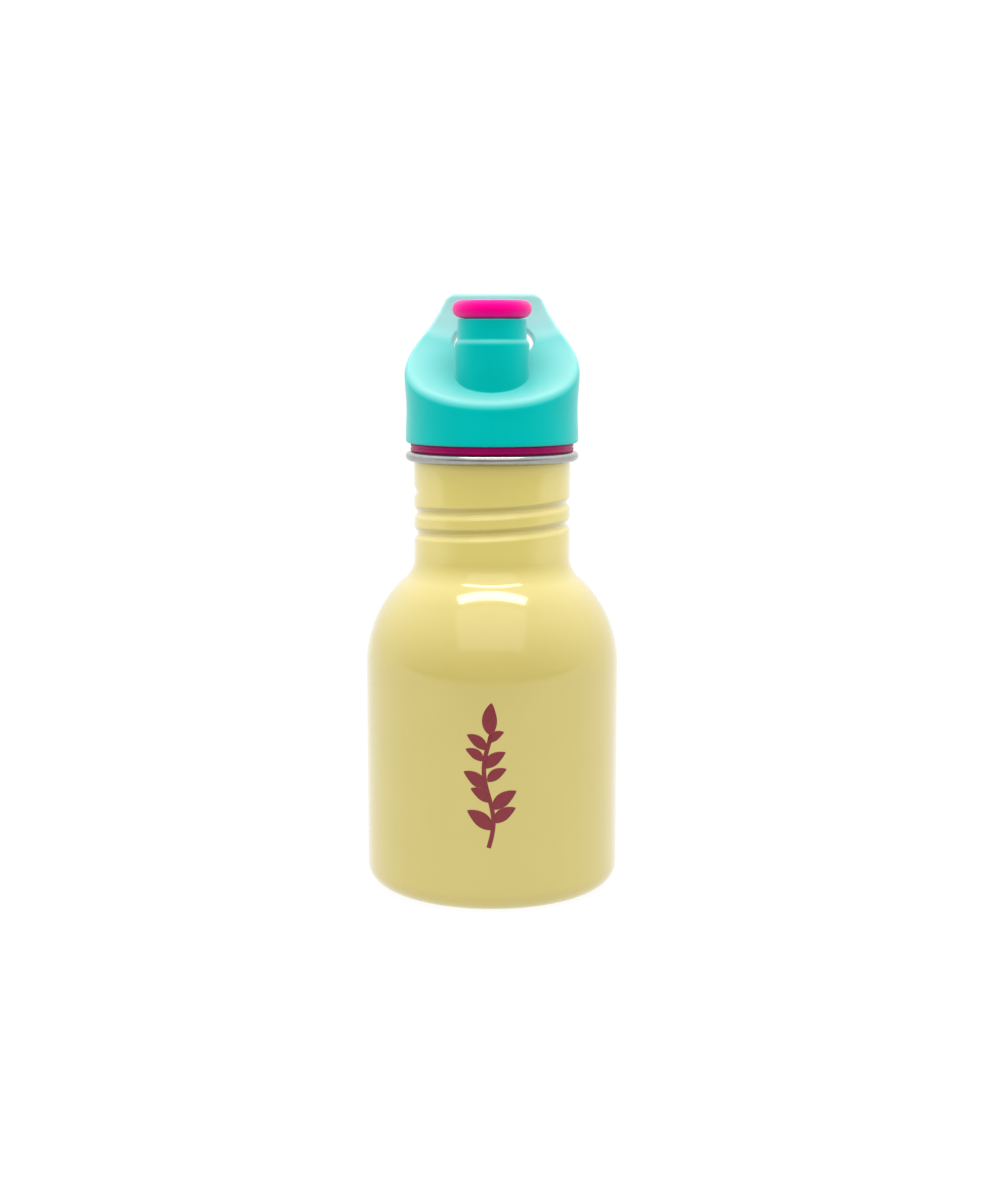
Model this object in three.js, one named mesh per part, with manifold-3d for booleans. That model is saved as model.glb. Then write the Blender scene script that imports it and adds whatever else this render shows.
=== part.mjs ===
// Child's steel water bottle with a screw-on sport cap.
// Millimetres, +Z up, origin at the centre of the standing ring. The handle is towards +Y, the low
// front of the cap towards -Y. Every piece is its own closed solid, kept `gap` away from its
// neighbours, and everything is placed from the driving dimensions below.

import * as THREE from 'three';
import { mergeVertices } from 'three/addons/utils/BufferGeometryUtils.js';
import Module from 'manifold-3d';

const wasm = await Module();
wasm.setup();

// ---------------------------------------------------------------- driving dimensions
const gap = 0.3; // clearance between pieces that touch, seat or slide

// bottle
const bodyRadius = 36.5;
const wall = 0.6; // stainless sheet
const footRadius = 5.6; // corner between side and standing ring
const ringWidth = 2.0; // flat of the standing ring
const curlRadius = 1.6; // inner edge of the standing ring, turned up
const curlRise = 2.0; // straight height of that turned-up edge
const sideTop = 64.2; // where the straight side ends and the shoulder starts
const shoulderRadius = 33.3;
const shoulderFillet = 7.65; // hollow curve from shoulder to neck
const neckRadius = 22.45;
const neckHeight = 30.48; // from the end of the shoulder fillet to the lip's top
const lipBead = 1.35; // radius of the rolled lip
const baseRise = 1.4; // dome of the welded base

// thread, rolled into the neck as a right-handed groove
const pitch = 6.0;
const grooveDepth = 0.95;
const grooveHalfWidth = 2.0;
const grooveLow = 24.48; // groove's lower end, below the lip's top
const grooveTurns = 2.22;
const grooveStart = 120; // degrees round from +X of the lower end
const grooveFade = 50; // degrees over which each end runs out

// plug and gasket
const plugWall = 2.0;
const plugLength = 26.4; // below the lip's top
const ridgeDepth = 0.9;
const ridgeHalfWidth = 1.7;
const ridgeTurns = 2.5;
const deckThickness = 2.2;
const sealHeight = 1.77;
const sealLand = 0.85; // how far the gasket stands out past the neck

// cap
const skirtWall = 2.05;
const skirtWaist = 0.25; // how far the skirt pulls in below its middle
const skirtFlare = 0.25; // and flares at the height of its rim
const skirtCorner = 1.0;
const frontHeight = 11.85; // height of the skirt at its low front
const handleHeight = 42.57;
const dish = 2.7; // depth of the hollow in the sweeping top
const handleCorner = 3.4;
const topBar = 7.15; // handle above the finger hole
const sideBar = 9.9; // handle beside the finger hole
const fingerFloor = 22.37; // underside of the finger hole above the cap's base
const fingerTilt = THREE.MathUtils.degToRad(10); // the hole runs down towards the back

// spout and nozzle
const stemRadius = 8.3;
const flangeRadius = 9.15;
const spoutWall = 1.2;
const bossHeight = 29.12; // above the cap's base
const spoutHeight = 34.87;
const stepHeight = 1.85; // sloping step from the boss to the narrower tube
const pull = 5.0; // travel of the nozzle
const nozzleBore = 6.0;
const flangeThickness = 1.0;
const ringSection = 0.8; // O-ring section radius
const headHeight = 2.8; // nozzle head inside the mouthpiece
const headPlate = 1.2;
const tipHeight = 4.95;
const tipOverhang = 1.45; // mouthpiece past the spout tube
const tipEdge = 2.35;
const postRadius = 2.6;
const stopperRadius = 3.2;
const stopperHeight = 3.4;

// air valve in the plug's deck
const valveStem = 1.6;
const valveDisc = 3.2;
const valveHead = 2.4;
const valveLip = 1.1;
const ventRadius = 0.6;

// ---------------------------------------------------------------- derived places
const neckInner = neckRadius - wall;
const shoulderCentre = bodyRadius - shoulderRadius;
const filletOut = neckRadius + shoulderFillet;
const filletUp = Math.sqrt((shoulderRadius + shoulderFillet) ** 2 - (filletOut - shoulderCentre) ** 2);
const filletHeight = sideTop + filletUp;
const lipTop = filletHeight + neckHeight;
const beadRadius = neckRadius + lipBead * 0.67; // centre line of the rolled lip
const sealTop = lipTop + gap + sealHeight;
const capBase = sealTop + gap;

const ridgeRoot = neckInner - grooveDepth - gap - 0.1; // plug's outer wall between its ridges
const plugInner = ridgeRoot - plugWall;
const plugBottom = lipTop - plugLength;
const plateRadius = neckRadius - wall / 4; // plug's top plate
const plateTop = capBase + deckThickness;

const skirtInner = plateRadius + gap;
const skirtRadius = skirtInner + skirtWall;
const capTop = capBase + handleHeight;

const upperBore = stemRadius + gap;
const lowerBore = flangeRadius + gap;
const bossRadius = lowerBore + spoutWall;
const spoutRadius = upperBore + spoutWall;
const bossTop = capBase + bossHeight;
const spoutTop = capBase + spoutHeight;
const boreStep = bossTop - stepHeight - 0.4;

const flangeTop = boreStep - pull - gap;
const grooveGap = 2 * ringSection + 2 * gap;
const ringHeight = flangeTop - flangeThickness - grooveGap / 2;
const ringRadius = flangeRadius - 0.1 - ringSection;
const grooveFloor = ringRadius - ringSection - gap;
const nozzleBottom = flangeTop - 2 * flangeThickness - grooveGap;
const tipBottom = spoutTop + gap;
const headTop = tipBottom + headHeight - gap;
const tipRadius = spoutRadius + tipOverhang;
const orifice = stopperRadius + gap;
const valveOut = (bossRadius + gap + plugInner) / 2; // air valve's distance from the axis

// ---------------------------------------------------------------- helpers
const ROUND = 36; // facets round the large pieces
const SMALL = 28; // and round the spout's pieces

const at = (r, z) => new THREE.Vector2(r, z);

// points on an arc of the section plane, degrees from +r towards +z
function arc(r, z, radius, from, to, steps) {
  const points = [];
  for (let i = 0; i <= steps; i += 1) {
    const a = THREE.MathUtils.degToRad(from + ((to - from) * i) / steps);
    points.push(at(r + radius * Math.cos(a), z + radius * Math.sin(a)));
  }
  return points;
}

function withoutRepeats(points) {
  return points.filter((p, i) => i === 0 || p.distanceTo(points[i - 1]) > 0.002);
}

// positions only, shared corners merged, collapsed triangles left out
function weld(geometry) {
  geometry.deleteAttribute('normal');
  geometry.deleteAttribute('uv');
  const merged = mergeVertices(geometry, 0.001);
  const kept = [];
  const index = merged.index.array;
  for (let i = 0; i < index.length; i += 3) {
    const [a, b, c] = [index[i], index[i + 1], index[i + 2]];
    if (a !== b && b !== c && c !== a) kept.push(a, b, c);
  }
  merged.setIndex(kept);
  return merged;
}

// section walked with the material on its left, turned about Z; a closed section repeats its start
function turned(section, segments, closed) {
  const points = withoutRepeats(section);
  if (closed) points.push(points[0].clone());
  return weld(new THREE.LatheGeometry(points, segments).rotateX(Math.PI / 2));
}

// outline in (y, z), pushed along X from -half to half
function pushedAlongX(outline, half, steps) {
  const shape = new THREE.Shape(outline);
  const solid = new THREE.ExtrudeGeometry(shape, { depth: 2 * half, bevelEnabled: false, steps });
  solid.translate(0, 0, -half);
  const turn = new THREE.Matrix4();
  turn.makeBasis(new THREE.Vector3(0, 1, 0), new THREE.Vector3(0, 0, 1), new THREE.Vector3(1, 0, 0));
  return solid.applyMatrix4(turn);
}

// outline in (x, z), pushed along Y from -half to half
function pushedAlongY(shape, half, curveSegments) {
  const solid = new THREE.ExtrudeGeometry(shape, { depth: 2 * half, bevelEnabled: false, curveSegments });
  solid.translate(0, 0, -half);
  return solid.rotateX(Math.PI / 2);
}

// outline in (x, y), pushed up from z = low to high
function pushedUp(shape, low, high, curveSegments) {
  const solid = new THREE.ExtrudeGeometry(shape, { depth: high - low, bevelEnabled: false, curveSegments });
  return solid.translate(0, 0, low);
}

function cylinder(radius, low, high, segments, x = 0, y = 0) {
  const solid = new THREE.CylinderGeometry(radius, radius, high - low, segments);
  return solid.rotateX(Math.PI / 2).translate(x, y, (low + high) / 2);
}

function solidOf(geometry) {
  const welded = weld(geometry);
  return new wasm.Manifold(new wasm.Mesh({
    numProp: 3,
    vertProperties: new Float32Array(welded.attributes.position.array),
    triVerts: new Uint32Array(welded.index.array),
  }));
}

function geometryOf(solid) {
  const mesh = solid.getMesh();
  const geometry = new THREE.BufferGeometry();
  geometry.setAttribute('position', new THREE.BufferAttribute(new Float32Array(mesh.vertProperties), 3));
  geometry.setIndex(new THREE.BufferAttribute(new Uint32Array(mesh.triVerts), 1));
  return geometry;
}

// ---------------------------------------------------------------- thread
// how strongly a thread is present at an angle (degrees from +X) and height: 1 on its crest line
function threadShare(angle, z, start, startHeight, turns, halfWidth) {
  let best = 0;
  for (let turn = -1; turn <= turns + 1; turn += 1) {
    const along = angle - start + 360 * turn;
    const crest = startHeight + (pitch * along) / 360;
    const off = Math.abs(z - crest) / halfWidth;
    const fromEnd = Math.min(along, turns * 360 - along) / grooveFade;
    if (off < 1 && fromEnd > 0) {
      const share = 0.5 * (1 + Math.cos(Math.PI * off)) * THREE.MathUtils.smoothstep(fromEnd, 0, 1);
      best = Math.max(best, share);
    }
  }
  return best;
}

// moves the walls between two radii in or out along the thread
function cutThread(geometry, inside, outside, depth, start, startHeight, turns, halfWidth) {
  const position = geometry.attributes.position;
  for (let i = 0; i < position.count; i += 1) {
    const [x, y, z] = [position.getX(i), position.getY(i), position.getZ(i)];
    const radius = Math.hypot(x, y);
    if (radius > inside && radius < outside) {
      const angle = (THREE.MathUtils.radToDeg(Math.atan2(y, x)) + 360) % 360;
      const share = threadShare(angle, z, start, startHeight, turns, halfWidth);
      const moved = (radius + depth * share) / radius;
      position.setXYZ(i, x * moved, y * moved, z);
    }
  }
  return geometry;
}

// heights for the rings of a threaded wall
function threadHeights(low, high) {
  const steps = Math.round((high - low) / 1.2);
  return Array.from({ length: steps + 1 }, (_, i) => low + ((high - low) * i) / steps);
}

const grooveStartHeight = lipTop - grooveLow;
const threadLow = grooveStartHeight - grooveHalfWidth;
const threadHigh = grooveStartHeight + grooveTurns * pitch + grooveHalfWidth;

// ---------------------------------------------------------------- bottle
// the bottle's wall from the turned-up edge under it to the top of the neck, `inset` into the metal
function shellPath(inset) {
  const ringInner = bodyRadius - footRadius - ringWidth;
  const foot = bodyRadius - footRadius;
  const slope = THREE.MathUtils.radToDeg(Math.atan2(filletUp, filletOut - shoulderCentre));
  return [
    at(ringInner - curlRadius + inset, curlRadius + curlRise),
    ...arc(ringInner, curlRadius, curlRadius - inset, 180, 270, 3),
    ...arc(foot, footRadius, footRadius - inset, 270, 360, 5),
    at(bodyRadius - inset, sideTop / 2),
    ...arc(shoulderCentre, sideTop, shoulderRadius - inset, 0, slope, 9),
    ...arc(filletOut, filletHeight, shoulderFillet + inset, 180 + slope, 180, 4),
    ...threadHeights(threadLow, threadHigh).map((z) => at(neckRadius - inset, z)),
  ];
}

function bottleShell() {
  const entryRadius = beadRadius - neckInner;
  const beadHeight = lipTop - lipBead;
  const under = THREE.MathUtils.radToDeg(Math.acos((beadRadius - neckRadius) / lipBead));
  const section = [
    ...shellPath(0),
    ...arc(beadRadius, beadHeight, lipBead, under - 180, 90, 8),
    ...arc(beadRadius, lipTop - entryRadius, entryRadius, 90, 180, 4),
    ...shellPath(wall).reverse(),
  ];
  const shell = turned(section, ROUND, true);
  const inside = neckInner - 0.1;
  const outside = neckRadius + 0.1;
  const turns = grooveTurns;
  return cutThread(shell, inside, outside, -grooveDepth, grooveStart, grooveStartHeight, turns, grooveHalfWidth);
}

function baseDisc() {
  const rim = bodyRadius - footRadius - ringWidth - curlRadius - gap;
  const plate = curlRadius + curlRise - wall;
  const corner = 1.2;
  return turned([
    at(0, plate + baseRise),
    at(rim * 0.5, plate + baseRise * 0.7),
    at(rim - 4, plate),
    ...arc(rim - wall - corner, plate - corner, corner, 90, 0, 3),
    at(rim - wall, curlRadius / 2),
    at(rim, curlRadius / 2),
    ...arc(rim - wall - corner, plate - corner, corner + wall, 0, 90, 4),
    at(rim - 4, plate + wall),
    at(rim * 0.5, plate + wall + baseRise * 0.7),
    at(0, plate + wall + baseRise),
  ], ROUND, false);
}

// ---------------------------------------------------------------- gasket and plug
function sealRing() {
  const inner = ridgeRoot + gap;
  const outer = neckRadius + sealLand;
  const low = lipTop + gap;
  const middle = low + sealHeight / 2;
  const corner = 0.35;
  return turned([
    at(inner, low),
    ...arc(outer - corner, low + corner, corner, 270, 360, 2),
    at(outer, middle - 0.3),
    at(outer - 0.2, middle),
    at(outer, middle + 0.3),
    ...arc(outer - corner, sealTop - corner, corner, 0, 90, 2),
    at(inner, sealTop),
  ], ROUND, true);
}

// kidney-shaped flow hole round the post
function flowHole(middle) {
  const inner = stopperRadius + 1;
  const outer = lowerBore - 1;
  const half = THREE.MathUtils.degToRad(40);
  const shape = new THREE.Shape();
  shape.absarc(0, 0, outer, middle - half, middle + half, false);
  shape.absarc(0, 0, inner, middle + half, middle - half, true);
  shape.closePath();
  return shape;
}

function threadPlug() {
  const ridgeHeight = plugBottom + ridgeHalfWidth + 1.4;
  const ridgeTop = ridgeHeight + ridgeTurns * pitch + ridgeHalfWidth;
  const lead = 0.8;
  const ceiling = capBase;
  const stopperTop = headTop + gap + lead;
  const wallHeights = threadHeights(plugBottom + lead, ridgeTop);
  const body = turned([
    at(0, ceiling),
    at(plugInner, ceiling),
    at(plugInner, plugBottom),
    at(ridgeRoot - lead, plugBottom),
    ...wallHeights.map((z) => at(ridgeRoot, z)),
    at(ridgeRoot, capBase),
    at(plateRadius, capBase),
    at(plateRadius, plateTop),
    at(postRadius, plateTop),
    at(postRadius, stopperTop - stopperHeight - 0.8),
    at(stopperRadius, stopperTop - stopperHeight),
    at(stopperRadius, stopperTop - 1),
    ...arc(stopperRadius - 1, stopperTop - 1, 1, 30, 90, 2),
    at(0, stopperTop),
  ], ROUND, false);
  // the ridge follows the neck's groove half a pitch above it
  const turnsUp = (ridgeHeight - grooveStartHeight - pitch / 2) / pitch;
  const start = grooveStart + 360 * turnsUp;
  const [inside, outside] = [ridgeRoot - 0.1, ridgeRoot + 0.1];
  cutThread(body, inside, outside, ridgeDepth, start, ridgeHeight, ridgeTurns, ridgeHalfWidth);
  let plug = solidOf(body);
  for (let i = 0; i < 3; i += 1) {
    const middle = Math.PI / 2 + (i * 2 * Math.PI) / 3;
    plug = plug.subtract(solidOf(pushedUp(flowHole(middle), ceiling - 1, plateTop + 1, 8)));
  }
  plug = plug.subtract(solidOf(cylinder(valveStem + gap, ceiling - 1, plateTop + 1, 16, 0, valveOut)));
  for (const side of [-1, 1]) {
    const x = side * (valveStem + gap + ventRadius + 0.15);
    plug = plug.subtract(solidOf(cylinder(ventRadius, ceiling - 1, plateTop + 1, 8, x, valveOut)));
  }
  return geometryOf(plug);
}

function ventValve() {
  const under = capBase - gap;
  const over = plateTop + gap;
  return turned([
    at(0, under - valveLip),
    at(valveDisc * 0.6, under - valveLip),
    at(valveDisc, under - 0.4),
    at(valveDisc, under),
    at(valveStem, under),
    at(valveStem, over),
    at(valveHead, over),
    at(valveHead, over + 0.6),
    at(valveStem * 0.6, over + 1.4),
    at(0, over + 1.4),
  ], 16, false).translate(0, valveOut, 0);
}

// ---------------------------------------------------------------- cap
// rim of the cap seen from the side: share of the skirt's radius, share of the rise to the handle
const rimShares = [
  [-1.08, -0.039], [-0.8, 0.034], [-0.45, 0.142], [-0.12, 0.27], [0.2, 0.404], [0.46, 0.53],
  [0.64, 0.652], [0.755, 0.786], [0.815, 0.888], [0.87, 1.026],
];
const rimCurve = new THREE.SplineCurve(rimShares.map(([across, rise]) => at(
  across * skirtRadius,
  capBase + frontHeight + rise * (handleHeight - frontHeight),
)));

function rimAcrossAt(z) {
  const points = rimCurve.getPoints(200);
  return points.reduce((best, p) => (Math.abs(p.y - z) < Math.abs(best.y - z) ? p : best)).x;
}

// everything under the sweeping top; the top is hollowed most near the spout
function sweep() {
  const steps = 22;
  const points = rimCurve.getSpacedPoints(steps);
  const normals = points.map((_, i) => {
    const tangent = rimCurve.getTangentAt(i / steps);
    return at(tangent.y, -tangent.x);
  });
  const far = skirtRadius + 4;
  const outline = [...points, at(far, capTop + 2), at(far, capBase - 6), at(-far, capBase - 6)];
  const solid = pushedAlongX(outline.reverse(), far, 16);
  const position = solid.attributes.position;
  for (let i = 0; i < position.count; i += 1) {
    const [x, y, z] = [position.getX(i), position.getY(i), position.getZ(i)];
    const match = points.findIndex((p) => Math.hypot(p.x - y, p.y - z) < 0.01);
    const share = 1 - (x * x + y * y) / (skirtRadius * skirtRadius);
    if (match >= 0 && share > 0) {
      const move = dish * share;
      position.setXYZ(i, x, y + normals[match].x * move, z + normals[match].y * move);
    }
  }
  return solidOf(solid);
}

function skirtColumn() {
  const waist = capBase + frontHeight * 0.82;
  const flare = capBase + frontHeight * 1.7;
  return solidOf(turned([
    at(0, capBase),
    ...arc(skirtRadius - skirtCorner, capBase + skirtCorner, skirtCorner, 270, 360, 3),
    at(skirtRadius - skirtWaist * 0.7, (capBase + waist) / 2 + 1),
    at(skirtRadius - skirtWaist, waist),
    at(skirtRadius - skirtWaist * 0.4, (waist + flare) / 2 - 1),
    at(skirtRadius + skirtFlare * 0.6, (waist + flare) / 2 + 2.5),
    at(skirtRadius + skirtFlare, flare),
    at(skirtRadius + skirtFlare, capTop),
    at(0, capTop),
  ], ROUND, false));
}

// front outline that rounds the handle's upper corners
function handleOutline() {
  const across = rimAcrossAt(capTop - handleCorner);
  const outer = skirtRadius + skirtFlare;
  const half = Math.sqrt(outer * outer - across * across);
  const far = outer + 4;
  const shape = new THREE.Shape();
  shape.moveTo(-far, capBase - 4);
  shape.lineTo(far, capBase - 4);
  shape.lineTo(far, capTop - handleCorner - 5);
  shape.lineTo(half, capTop - handleCorner);
  shape.absarc(half - handleCorner, capTop - handleCorner, handleCorner, 0, Math.PI / 2, false);
  shape.absarc(handleCorner - half, capTop - handleCorner, handleCorner, Math.PI / 2, Math.PI, false);
  shape.lineTo(-far, capTop - handleCorner - 5);
  shape.closePath();
  return solidOf(pushedAlongY(shape, far, 6));
}

function fingerHole() {
  const low = capBase + fingerFloor;
  const high = capTop - topBar;
  const middle = (low + high) / 2;
  const across = rimAcrossAt(middle);
  const half = Math.sqrt((skirtRadius + skirtFlare) ** 2 - across * across) - sideBar;
  const shape = new THREE.Shape();
  shape.absellipse(0, 0, half, (high - low) / 2, 0, 2 * Math.PI, false, 0);
  const reach = skirtRadius;
  const hole = pushedAlongY(shape, reach, 28);
  hole.translate(0, reach, 0).rotateX(-fingerTilt);
  const start = bossRadius * 0.4;
  return solidOf(hole.translate(0, start, middle + (across - start) * Math.tan(fingerTilt)));
}

// hollow under the cap's roof, round the spout's lower tube
function roofHollow() {
  const inner = skirtInner - 0.6;
  const floor = plateTop;
  const front = capBase + frontHeight - 3;
  const outline = [
    at(-inner - 2, floor), at(inner + 2, floor), at(inner + 2, capBase + fingerFloor - 6.2),
    at(inner * 0.25, capBase + fingerFloor - 5), at(-inner * 0.09, front + 5.7), at(-inner - 2, front),
  ];
  const under = solidOf(pushedAlongX(outline, inner + 2, 1));
  const column = solidOf(cylinder(inner, floor - 1, capTop, ROUND));
  return under.intersect(column).subtract(solidOf(cylinder(bossRadius + gap, floor - 2, capTop, SMALL)));
}

function spoutColumn() {
  const low = capBase + frontHeight - 1;
  return solidOf(turned([
    at(0, low),
    at(bossRadius, low),
    at(bossRadius, bossTop - stepHeight),
    at((bossRadius * 2 + spoutRadius) / 3, bossTop - stepHeight * 0.45),
    at(spoutRadius, bossTop),
    at(spoutRadius, spoutTop - 0.4),
    at(spoutRadius - 0.4, spoutTop),
    at(0, spoutTop),
  ], SMALL, false));
}

function spoutBore() {
  return solidOf(turned([
    at(0, capBase - 1),
    at(lowerBore, capBase - 1),
    at(lowerBore, boreStep),
    at(upperBore, boreStep),
    at(upperBore, spoutTop + 1),
    at(0, spoutTop + 1),
  ], SMALL, false));
}

function capShell() {
  const seat = solidOf(cylinder(skirtInner, capBase - 1, plateTop + gap, ROUND));
  let cap = sweep().intersect(skirtColumn()).intersect(handleOutline());
  cap = cap.subtract(fingerHole()).add(spoutColumn());
  cap = cap.subtract(seat).subtract(roofHollow()).subtract(spoutBore());
  return geometryOf(cap);
}

// ---------------------------------------------------------------- nozzle
function nozzle() {
  return turned([
    at(nozzleBore, nozzleBottom),
    at(flangeRadius, nozzleBottom),
    at(flangeRadius, nozzleBottom + flangeThickness),
    at(grooveFloor, nozzleBottom + flangeThickness),
    at(grooveFloor, flangeTop - flangeThickness),
    at(flangeRadius, flangeTop - flangeThickness),
    at(flangeRadius, flangeTop),
    at(stemRadius, flangeTop),
    at(stemRadius, headTop - 0.5),
    at(stemRadius - 0.5, headTop),
    at(orifice, headTop),
    at(orifice, headTop - headPlate),
    at(nozzleBore, headTop - headPlate - 0.8),
  ], SMALL, true);
}

function nozzleRing() {
  return turned(arc(ringRadius, ringHeight, ringSection, -90, 225, 7), SMALL, true);
}

function mouthpiece() {
  const top = tipBottom + tipHeight;
  const pocket = stemRadius + gap;
  const foot = spoutRadius - 0.6;
  const edge = tipRadius - tipEdge;
  const ceiling = headTop + gap;
  return turned([
    at(pocket, tipBottom),
    at(foot, tipBottom),
    ...arc(edge, tipBottom + tipEdge, tipEdge, -78, 0, 4),
    ...arc(edge, top - tipEdge, tipEdge, 0, 90, 5),
    at(orifice + gap + 1, top),
    at(orifice + gap + 0.3, top - 0.3),
    at(orifice + gap, top - 1),
    at(orifice + gap, ceiling),
    at(pocket, ceiling),
  ], SMALL, true);
}

// ---------------------------------------------------------------- materials
function material(color, roughness, metalness = 0) {
  return new THREE.MeshStandardMaterial({ color, roughness, metalness });
}

const glossPaint = material(0xe6d98c, 0.25);
const bareSteel = material(0xb9bcbd, 0.3, 1);
const capPlastic = material(0x4fd8cc, 0.4);
const plugPlastic = material(0x3fcabf, 0.45);
const ringSilicone = material(0x9c1f5c, 0.55);
const tipSilicone = material(0xff1493, 0.45);
const clearSilicone = material(0xe8ecec, 0.5);

// ---------------------------------------------------------------- assembly
const bottle = new THREE.Group();
const pieces = [
  ['bottle_shell', bottleShell(), glossPaint],
  ['base_disc', baseDisc(), bareSteel],
  ['seal_ring', sealRing(), ringSilicone],
  ['cap_shell', capShell(), capPlastic],
  ['thread_plug', threadPlug(), plugPlastic],
  ['vent_valve', ventValve(), clearSilicone],
  ['nozzle_slider', nozzle(), capPlastic],
  ['nozzle_o_ring', nozzleRing(), ringSilicone],
  ['mouthpiece', mouthpiece(), tipSilicone],
];
for (const [name, geometry, look] of pieces) {
  const mesh = new THREE.Mesh(geometry, look);
  mesh.name = name;
  bottle.add(mesh);
}

export default bottle;
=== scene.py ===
"""Child's steel water bottle with a sport cap: the looks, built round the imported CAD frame.

Sizes are in millimetres until a mesh is made, and the frame is in metres: +Z up, the handle towards +Y.
"""

import math

import bpy
import numpy as np
from mathutils import Matrix, Vector


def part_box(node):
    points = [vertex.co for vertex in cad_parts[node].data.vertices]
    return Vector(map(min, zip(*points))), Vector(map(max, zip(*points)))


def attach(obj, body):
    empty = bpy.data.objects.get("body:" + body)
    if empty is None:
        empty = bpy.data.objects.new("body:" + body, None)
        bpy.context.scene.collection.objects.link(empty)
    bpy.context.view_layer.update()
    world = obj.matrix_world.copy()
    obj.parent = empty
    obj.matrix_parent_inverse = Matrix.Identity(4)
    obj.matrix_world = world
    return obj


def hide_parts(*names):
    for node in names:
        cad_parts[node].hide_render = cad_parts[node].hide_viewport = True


MM = 0.001
ON_AXIS = 1e-6  # a section point nearer the axis than this is on it
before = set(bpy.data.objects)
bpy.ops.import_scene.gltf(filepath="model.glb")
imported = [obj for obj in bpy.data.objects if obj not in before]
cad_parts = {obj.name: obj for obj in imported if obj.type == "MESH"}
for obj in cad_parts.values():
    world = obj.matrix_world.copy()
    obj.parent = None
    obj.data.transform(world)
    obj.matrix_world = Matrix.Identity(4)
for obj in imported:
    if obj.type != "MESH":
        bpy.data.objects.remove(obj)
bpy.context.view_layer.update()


def cad(node):
    """Lowest and highest corner of a CAD node, in millimetres."""
    low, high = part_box(node)
    return np.array(low) / MM, np.array(high) / MM


# ---------------------------------------------------------------- sizes, tied to the frame
_, shell_high = cad("bottle_shell")
_, ring_high = cad("seal_ring")
cap_low, cap_high = cad("cap_shell")
plug_low, plug_high = cad("thread_plug")
nozzle_low, nozzle_high = cad("nozzle_slider")
tip_low, tip_high = cad("mouthpiece")
o_ring_low, o_ring_high = cad("nozzle_o_ring")
disc_low, disc_high = cad("base_disc")
valve_low, valve_high = cad("vent_valve")

GAP = 0.3  # clearance between the frame's pieces
BODY_RADIUS = shell_high[0]
LIP_TOP = round(shell_high[2], 2)
CAP_BASE = round(cap_low[2], 2)
CAP_TOP = round(cap_high[2], 2)

WALL = 0.6
PAINT = 0.09
FOOT_RADIUS = 5.6
FOOT_RING = 2.0
CURL_RADIUS = 1.6
CURL_RISE = 2.0
SIDE_TOP = 64.2
SHOULDER_RADIUS = 33.3
SHOULDER_FILLET = 7.65
NECK_RADIUS = 22.45
LIP_BEAD = 1.35
PAINT_EDGE = 2.75  # the paint stops this far below the lip's top

PITCH = 6.0
GROOVE_DEPTH = 0.95
GROOVE_HALF_WIDTH = 2.0
GROOVE_LOW = 24.48
GROOVE_TURNS = 2.27
GROOVE_START = 120.0
GROOVE_FADE = 50.0

SKIRT_WAIST = 0.25
SKIRT_FLARE = 0.25
SKIRT_CORNER = 1.0
SKIRT_WALL = 2.05
FRONT_HEIGHT = 11.85
DISH = 2.7
HANDLE_CORNER = 2.6
TOP_BAR = 7.15
SIDE_BAR = 9.9
FINGER_FLOOR = 22.37
FINGER_TILT = math.radians(10)
STEM_RADIUS = 8.3
FLANGE_RADIUS = 9.15
SPOUT_WALL = 1.2
NOZZLE_BORE = 6.0
BOSS_HEIGHT = 29.12
SPOUT_HEIGHT = 34.87
STEP_HEIGHT = 1.85
DECK = 2.2
PLUG_WALL = 2.0
RIDGE_HEIGHT = 0.9
RIDGE_HALF_WIDTH = 1.7
RIDGE_TURNS = 2.5
RIDGE_START = 1.4  # above its own half width, from the foot of the plug
POINT_STEP = 0.28  # between section points where a thread is

SKIRT_RADIUS = -cap_low[1]
SKIRT_INNER = SKIRT_RADIUS - SKIRT_WALL
LOWER_BORE = FLANGE_RADIUS + GAP
UPPER_BORE = STEM_RADIUS + GAP
BOSS_RADIUS = LOWER_BORE + SPOUT_WALL
SPOUT_RADIUS = UPPER_BORE + SPOUT_WALL
BOSS_TOP = CAP_BASE + BOSS_HEIGHT
SPOUT_TOP = CAP_BASE + SPOUT_HEIGHT
BORE_STEP = BOSS_TOP - STEP_HEIGHT - 0.4
PLATE_TOP = CAP_BASE + DECK
PLUG_ROOT = NECK_RADIUS - WALL - GROOVE_DEPTH - GAP - 0.1


# ---------------------------------------------------------------- sections and turned meshes
def arc(r, z, radius, start, end, steps):
    """Points on an arc of the section plane, in degrees from +r towards +z."""
    angles = np.radians(np.linspace(start, end, steps + 1))
    return [(r + radius * math.cos(a), z + radius * math.sin(a)) for a in angles]


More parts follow.
